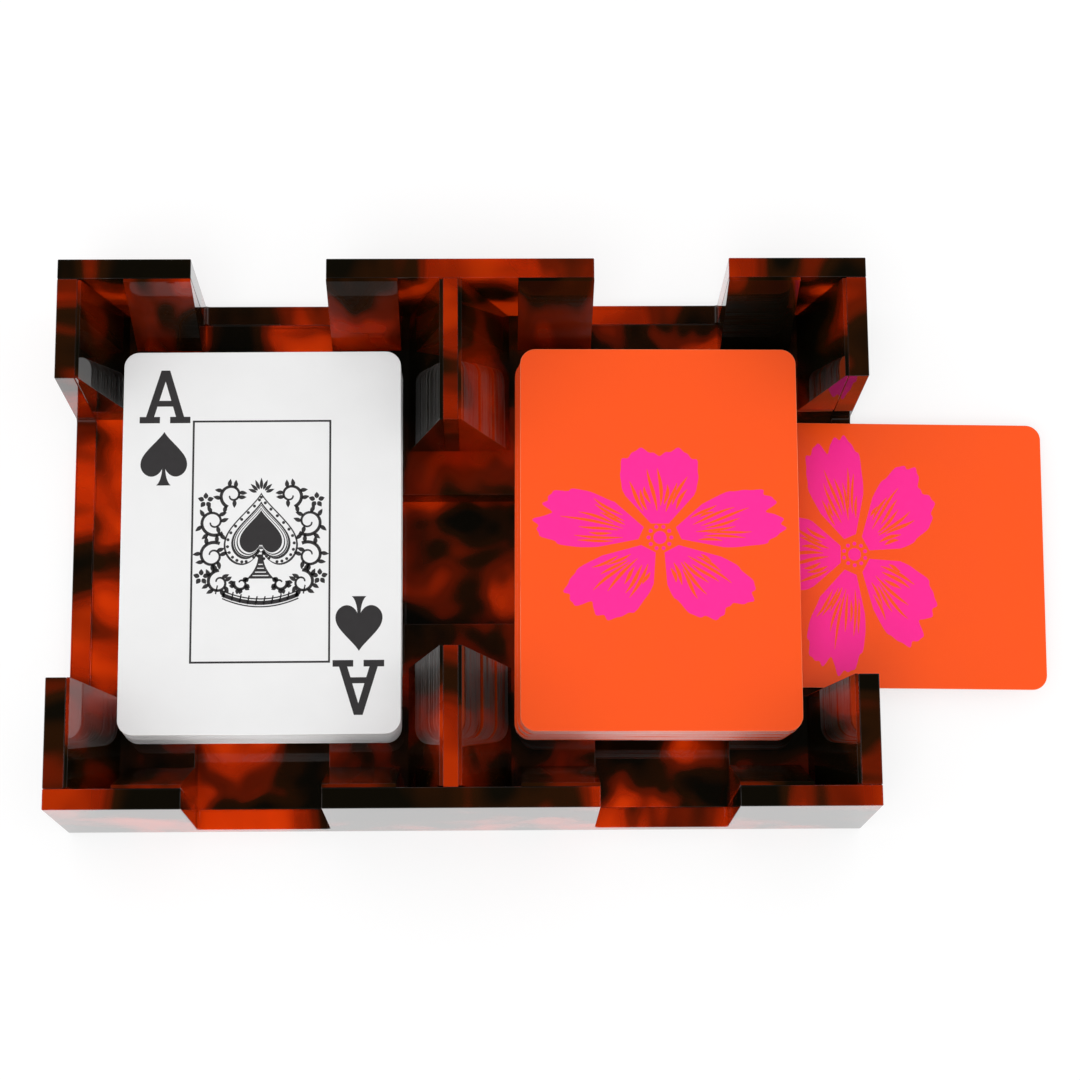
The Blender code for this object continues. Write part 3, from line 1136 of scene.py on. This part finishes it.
@dataclass
class AceFace:
    """The printing of the face-up ace: corner indices, a thin frame and a framed spade in scrollwork."""

    index_centre: tuple[float, float] = (-22.2, 33.9)
    index_size: tuple[float, float] = (11.6, 12.5)
    index_stroke: float = 1.5
    pip_centre: tuple[float, float] = (-22.3, 19.3)
    pip_size: tuple[float, float] = (10.6, 12.6)
    frame_size: tuple[float, float] = (31.2, 56.0)
    frame_line: float = 0.45

    def corner(self, sign: float) -> list[list[np.ndarray]]:
        """Return the index and its pip, upright for sign 1 and turned round for sign -1."""
        letter = block_letter_a(*self.index_size, self.index_centre, self.index_stroke)
        pip = [spade_outline(*self.pip_size, self.pip_centre)]
        return [[loop * sign for loop in letter], [loop * sign for loop in pip]]

    def border(self) -> list[list[np.ndarray]]:
        """Return the thin rectangular frame."""
        half = np.array(self.frame_size) / 2
        square = np.array([[1, 1], [-1, 1], [-1, -1], [1, -1]], float)
        return [[square * (half + self.frame_line / 2), square * (half - self.frame_line / 2)]]

    def medallion(self) -> list[list[np.ndarray]]:
        """Draw a solid spade inside fine outline spades with a string of beads between them.

        Returns:
            The shapes.
        """
        shapes = [[spade_outline(9.6, 11.8, (0.0, 1.2), stem=False)]]
        for wide, line in ((11.0, 0.26), (12.2, 0.26), (13.4, 0.5), (16.8, 0.42)):
            tall = wide * 1.2
            outer = spade_outline(wide, tall, (0.0, 1.1), stem=False)
            inner = spade_outline(wide - 2 * line, tall - 2.4 * line, (0.0, 1.15), stem=False)
            shapes.append([outer, inner])
        drop = np.linspace(0.0, 1.0, 14)
        half = 0.55 + 2.5 * drop ** 2.2
        foot = np.stack([half, -3.2 - 5.6 * drop], 1)
        stem = np.concatenate([foot[::-1], foot * [-1.0, 1.0]])
        slits = [
            np.array([[wide, low], [-wide, low], [-wide, low - 0.22], [wide, low - 0.22]])
            for wide, low in ((0.5, -5.4), (0.75, -6.3), (1.25, -7.2), (1.8, -8.0))
        ]
        shapes.append([stem, *slits])
        angles = np.linspace(0.0, 2 * math.pi, 10, endpoint=False)
        bead = 0.36 * np.stack([np.cos(angles), np.sin(angles)], 1)
        string = spade_outline(15.1, 18.0, (0.0, 1.12))
        clear = (string[:, 1] > -4.2) | (np.abs(string[:, 0]) > 3.2)
        shapes += [[bead + place] for place in string[clear][::2]]
        return shapes

    def scrollwork(self) -> list[list[np.ndarray]]:
        """Draw the spirals with their leaves, mirrored left and right.

        Returns:
            The shapes.
        """
        shapes = []
        for centre, start, end, first, last, leaf_length in (
            ((10.8, 4.4), -130.0, 350.0, 3.3, 0.7, 2.0),
            ((10.9, -3.4), 120.0, -350.0, 3.2, 0.7, 2.0),
            ((6.6, 10.6), -70.0, 350.0, 2.9, 0.6, 1.9),
            ((9.4, -9.6), 90.0, -350.0, 2.8, 0.6, 1.9),
            ((4.4, -9.9), 20.0, -330.0, 1.7, 0.5, 1.3),
        ):
            path = spiral(centre, start, end, first, last)
            widths = np.linspace(0.8, 0.34, len(path))
            shapes.append([ribbon(path, widths)])
            tips = path[1:30:4]
            away = tips - np.array(centre)
            for number, ((x, y), (dx, dy)) in enumerate(zip(tips, away)):
                heading = math.degrees(math.atan2(dy, dx)) + (30.0 if number % 2 else -20.0)
                shapes.append([leaf((x, y), heading, leaf_length, 0.95)])
        return shapes + [[loop * [-1.0, 1.0] for loop in shape] for shape in shapes]

    def swag(self) -> list[list[np.ndarray]]:
        """Draw the hanging ribbon below: a banded arc with hatched ends, y = -14.4 + x * x / 38.

        Returns:
            The shapes.
        """
        across = np.linspace(-8.6, 8.6, 40)
        path = np.stack([across, -14.4 + across ** 2 / 38.0], 1)
        bands = ((0.9, 0.3), (0.0, 0.95), (-0.9, 0.3))
        shapes = [[ribbon(path + [0.0, rise], np.full(40, line))] for rise, line in bands]
        for x in np.linspace(-9.9, 9.9, 12):
            low = -14.9 + x ** 2 / 38.0
            hatch = np.array([[x - 0.2, low], [x + 0.2, low + 2.0]])
            shapes.append([ribbon(np.linspace(hatch[0], hatch[1], 4), np.full(4, 0.32))])
        return shapes

    def ornament(self) -> list[list[np.ndarray]]:
        """Draw the whole centre piece, with a palmette on top and four rosettes.

        Returns:
            The shapes.
        """
        shapes = self.medallion() + self.scrollwork() + self.swag()
        for turned in range(-3, 4):
            heading = math.radians(90.0 + 23.0 * turned)
            root = (1.1 * math.cos(heading), 10.9 + 1.1 * math.sin(heading))
            shapes.append([leaf(root, math.degrees(heading), 2.7 - 0.2 * abs(turned), 0.75)])
        for x, y in ((12.6, 9.4), (-12.6, 9.4), (13.4, -8.4), (-13.4, -8.4)):
            for petal in range(5):
                heading = math.radians(90.0 + 72.0 * petal)
                root = (x + 0.4 * math.cos(heading), y + 0.4 * math.sin(heading))
                shapes.append([leaf(root, math.degrees(heading), 1.5, 1.1)])
        return shapes

    def shapes(self) -> list[list[np.ndarray]]:
        """Return every printed shape of the face."""
        return self.corner(1.0) + self.corner(-1.0) + self.border() + self.ornament()


@dataclass
class BlossomBack:
    """The card back's motif: one broad five-petalled blossom with streaked petals."""

    petals: int = 5
    reach: tuple[float, float] = (29.0, 21.0)
    streaks: int = 9

    def petal(self, number: int) -> list[np.ndarray]:
        """Return one petal: an outline in polar form with a notch at its tip, and streak holes.

        The radius at share u across the petal is 1 - 0.55 |2u - 1|^3.2, less a shallow notch at the
        middle, plus a fine ripple.

        Args:
            number: Which petal.

        Returns:
            Outer outline and the holes.
        """
        step = 2 * math.pi / self.petals
        middle = math.pi / 2 + number * step
        u = np.linspace(0.02, 0.98, 60)
        ripple = 0.018 * np.sin(u * 41.0 + number * 2.1) + 0.012 * np.sin(u * 73.0 + number)
        radius = (1.0 - np.abs(2 * u - 1) ** 3.2 * 0.55 - 0.10 * np.exp(-(((u - 0.5) / 0.06) ** 2))) + ripple
        angle = middle + (u - 0.5) * step * 0.87
        rim = np.stack([np.cos(angle), np.sin(angle)], 1) * radius[:, None]
        base = 0.17 * np.array([[math.cos(middle + 0.42), math.sin(middle + 0.42)],
                                [math.cos(middle - 0.42), math.sin(middle - 0.42)]])
        outer = np.concatenate([rim, base])
        holes = []
        for streak in range(self.streaks):
            share = (streak + 0.5) / self.streaks
            heading = middle + (share - 0.5) * step * 0.70
            start = 0.34 + 0.05 * math.sin(streak * 2.3 + number)
            end = 0.72 + 0.10 * math.sin(streak * 1.7 + number * 1.3) - 0.16 * abs(2 * share - 1)
            t = np.linspace(0.0, 1.0, 9)
            line = start + (end - start) * t
            bend = heading + 0.03 * np.sin(t * 3.0 + streak)
            path = np.stack([np.cos(bend), np.sin(bend)], 1) * line[:, None]
            holes.append(ribbon(path, 0.005 + 0.026 * np.sin(math.pi * t)))
        return [loop * self.reach for loop in (outer, *holes)]

    def heart(self) -> list[list[np.ndarray]]:
        """Draw the blossom's centre: a ring of small dots round a disc.

        Returns:
            The shapes.
        """
        angles = np.linspace(0.0, 2 * math.pi, 24, endpoint=False)
        disc = np.stack([np.cos(angles), np.sin(angles)], 1)
        dots = [
            [disc * 0.45 + 2.6 * np.array([math.cos(a), math.sin(a)])]
            for a in np.linspace(0.0, 2 * math.pi, 10, endpoint=False)
        ]
        return [[disc * 1.5], *dots]

    def shapes(self) -> list[list[np.ndarray]]:
        """Return every printed shape of the back."""
        return [self.petal(n) for n in range(self.petals)] + self.heart()


@dataclass
class Cards:
    """Both packs and the side card, with their printing."""

    white: CoatedCardStock = CoatedCardStock("Varnished white card", "#e9e9e9", "#e3e3e3")
    orange: CoatedCardStock = CoatedCardStock("Varnished orange card", "#fc540a", "#fa5006")
    # Painted light: the white cards' cut edges have pure white board, lighter than the cards' faces, standing
    # in for light that the pack's sides in the narrow wells don't get.
    white_edge_painted_light: CutCardEdge = CutCardEdge("Cut edges of white cards, lightened as painted light", "#ffffff", "#ece8e5")
    # The orange cards' cut edges are partly the board's own white core and partly painted light: pure white,
    # lighter than the board, as a painted highlight along the pack's edges.
    orange_edge_core_and_painted_light: CutCardEdge = CutCardEdge("Cut edges of orange cards", "#ffffff", "#ff7a45")
    orange_rim: CutCardEdge = CutCardEdge("Rim of one orange card", "#ff8a5e", "#ff5a1e")
    black: OffsetInk = OffsetInk("Black offset ink", "#343233", "#3a3839")
    pink: OffsetInk = OffsetInk("Pink offset ink", "#ff1c93", "#ff2396")

    def build(self, nodes: dict[str, bpy.types.Object]) -> None:
        """Build every packet, loose card and print.

        Args:
            nodes: CAD node name to object.
        """
        for seed, name in enumerate(("discard_packet_lower", "discard_packet_upper"), start=11):
            packet = CardStack(name, "discard_pack", "card_white", self.white, self.white_edge_painted_light, seed=seed)
            packet.build(nodes)
        names = ("stock_packet_lower", "stock_packet_middle", "stock_packet_upper")
        for seed, name in enumerate(names, start=21):
            packet = CardStack(name, "stock_pack", "card_orange", self.orange, self.orange_edge_core_and_painted_light, seed=seed)
            packet.build(nodes)
        ace = LooseCard("discard_top_card", "discard_top_card", "card_white", self.white, self.white_edge_painted_light)
        ace.build(nodes)
        printing = Print("ace_printing", "discard_top_card", ace.place, self.black)
        printing.build(AceFace().shapes())
        stock = LooseCard("stock_top_card", "stock_top_card", "card_orange", self.orange, self.orange_rim)
        stock.build(nodes)
        printing = Print("stock_back_printing", "stock_top_card", stock.place, self.pink)
        printing.build(BlossomBack().shapes())
        side = LooseCard("side_card", "side_card", "card_orange", self.orange, self.orange_rim)
        side.build(nodes)
        printing = Print("side_back_printing", "side_card", side.place, self.pink)
        printing.build(BlossomBack().shapes())


@dataclass
class Studio:
    """Pale sweep, soft light from all round, a dark ceiling, and the camera."""

    lens_mm: float = 97.53
    sensor_mm: float = 36.0
    pitch_degrees: float = 77.42
    roll_degrees: float = 4.0
    yaw_degrees: float = -4.33
    camera_mm: tuple[float, float, float] = (6.40, -143.89, 674.61)
    floor_glow: float = 0.70
    mirrored_floor_glow: float = 0.83
    world_level: float = 0.87

    def camera(self) -> None:
        """Place the camera: looking forward and down by the pitch, rolled, then turned by the yaw."""
        pitch, roll = math.radians(self.pitch_degrees), math.radians(self.roll_degrees)
        yaw = math.radians(self.yaw_degrees)
        forward = Vector((0.0, math.cos(pitch), -math.sin(pitch)))
        right = Vector((1.0, 0.0, 0.0))
        up = right.cross(forward)
        spin = Matrix.Rotation(yaw, 3, "Z")
        forward, right, up = spin @ forward, spin @ right, spin @ up
        right, up = (
            math.cos(roll) * right + math.sin(roll) * up,
            math.cos(roll) * up - math.sin(roll) * right,
        )
        data = bpy.data.cameras.new("Camera")
        data.lens, data.sensor_width = self.lens_mm, self.sensor_mm
        data.clip_start, data.clip_end = 0.01, 50.0
        camera = bpy.data.objects.new("Camera", data)
        place = Matrix((right, up, -forward)).transposed().to_4x4()
        place.translation = Vector(self.camera_mm) * MM
        camera.matrix_world = place
        bpy.context.scene.collection.objects.link(camera)
        bpy.context.scene.camera = camera

    def floor(self) -> None:
        """Lay a wide pale floor, white to the camera and in gloss, that keeps a soft shadow."""
        material = bpy.data.materials.new("Matt white sweep")
        tree = empty_tree(material)
        path = add_node(tree, "ShaderNodeLightPath")
        seen = add_node(
            tree, "ShaderNodeMath",
            {0: path.outputs["Is Camera Ray"], 1: path.outputs["Is Glossy Ray"]},
            operation="MAXIMUM",
        )
        seen = add_node(
            tree, "ShaderNodeMath",
            {0: seen.outputs["Value"], 1: path.outputs["Is Transmission Ray"]},
            operation="MAXIMUM",
        )
        # Polished faces mirror a brighter sweep than the camera sees, matched to the photograph.
        lift = add_node(tree, "ShaderNodeMapRange", {
            "Value": path.outputs["Is Glossy Ray"],
            "To Min": self.floor_glow,
            "To Max": self.mirrored_floor_glow,
        })
        glow = add_node(tree, "ShaderNodeEmission", {"Color": WHITE, "Strength": lift.outputs["Result"]})
        matt = add_node(tree, "ShaderNodeBsdfDiffuse", {"Color": (0.30, 0.30, 0.30, 1.0)})
        both = add_node(tree, "ShaderNodeAddShader", {0: glow.outputs["Emission"], 1: matt.outputs["BSDF"]})
        plain = add_node(tree, "ShaderNodeBsdfDiffuse", {"Color": (0.8, 0.8, 0.8, 1.0)})
        mix = add_node(
            tree, "ShaderNodeMixShader",
            {0: seen.outputs["Value"], 1: plain.outputs["BSDF"], 2: both.outputs["Shader"]},
        )
        add_node(tree, "ShaderNodeOutputMaterial", {"Surface": mix.outputs["Shader"]})
        grid = np.array([[-1, -1], [1, -1], [1, 1], [-1, 1]], float) * 6.0
        vertices = np.column_stack([grid, np.full(4, -0.0002)])
        mesh_object("floor", vertices, [[0, 1, 2, 3]], [material])

    def world(self) -> None:
        """Light evenly from all round; in gloss the sky darkens towards the zenith like a dark ceiling."""
        world = bpy.data.worlds.new("Soft studio")
        bpy.context.scene.world = world
        tree = empty_tree(world)
        path = add_node(tree, "ShaderNodeLightPath")
        coordinates = add_node(tree, "ShaderNodeTexCoord")
        split = add_node(tree, "ShaderNodeSeparateXYZ", {"Vector": coordinates.outputs["Generated"]})
        rise = add_node(tree, "ShaderNodeMapRange", {
            "Value": split.outputs["Z"],
            "From Min": 0.15,
            "From Max": 0.8,
            "To Min": 0.9,
            "To Max": 0.02,
        })
        even = add_node(tree, "ShaderNodeBackground", {"Color": WHITE, "Strength": self.world_level})
        sky = add_node(tree, "ShaderNodeBackground", {"Color": WHITE, "Strength": rise.outputs["Result"]})
        gloss = add_node(
            tree, "ShaderNodeMixShader",
            {0: path.outputs["Is Glossy Ray"], 1: even.outputs["Background"], 2: sky.outputs["Background"]},
        )
        white = add_node(tree, "ShaderNodeBackground", {"Color": WHITE, "Strength": 1.0})
        mix = add_node(
            tree, "ShaderNodeMixShader",
            {0: path.outputs["Is Camera Ray"], 1: gloss.outputs["Shader"], 2: white.outputs["Background"]},
        )
        add_node(tree, "ShaderNodeOutputWorld", {"Surface": mix.outputs["Shader"]})

    def lamp(
        self, name: str, place: tuple[float, float, float], size: float, watts: float, mirrored: bool = True
    ) -> None:
        """Hang one square softbox that faces the tray.

        Args:
            name: The lamp's name.
            place: Its centre in metres.
            size: Its side in metres.
            watts: Its power.
            mirrored: Whether polished pieces mirror it.
        """
        data = bpy.data.lights.new(name, "AREA")
        data.shape, data.size, data.energy = "SQUARE", size, watts
        lamp = bpy.data.objects.new(name, data)
        lamp.location = place
        lamp.visible_glossy = mirrored
        lamp.rotation_euler = (-Vector(place)).to_track_quat("-Z", "Y").to_euler()
        bpy.context.scene.collection.objects.link(lamp)

    def build(self) -> None:
        """Build the whole studio."""
        bpy.context.scene.view_settings.view_transform = "Standard"
        self.camera()
        self.floor()
        self.world()
        self.lamp("left_softbox", (-1.1, -0.1, 0.9), 0.7, 1.4)
        self.lamp("right_softbox", (1.2, 0.1, 0.8), 0.5, 1.2)
        self.lamp("front_softbox", (-0.2, -0.62, 1.36), 0.6, 5.6, mirrored=False)
        LOG.info("studio ready")


def main() -> None:
    """Build the scene in order."""
    logging.basicConfig(level=logging.INFO, format="%(name)s: %(message)s")
    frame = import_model()
    nodes = frame["nodes"]
    AcrylicShell().build(nodes)
    Cards().build(nodes)
    Studio().build()


if __name__ == "__main__":
    main()
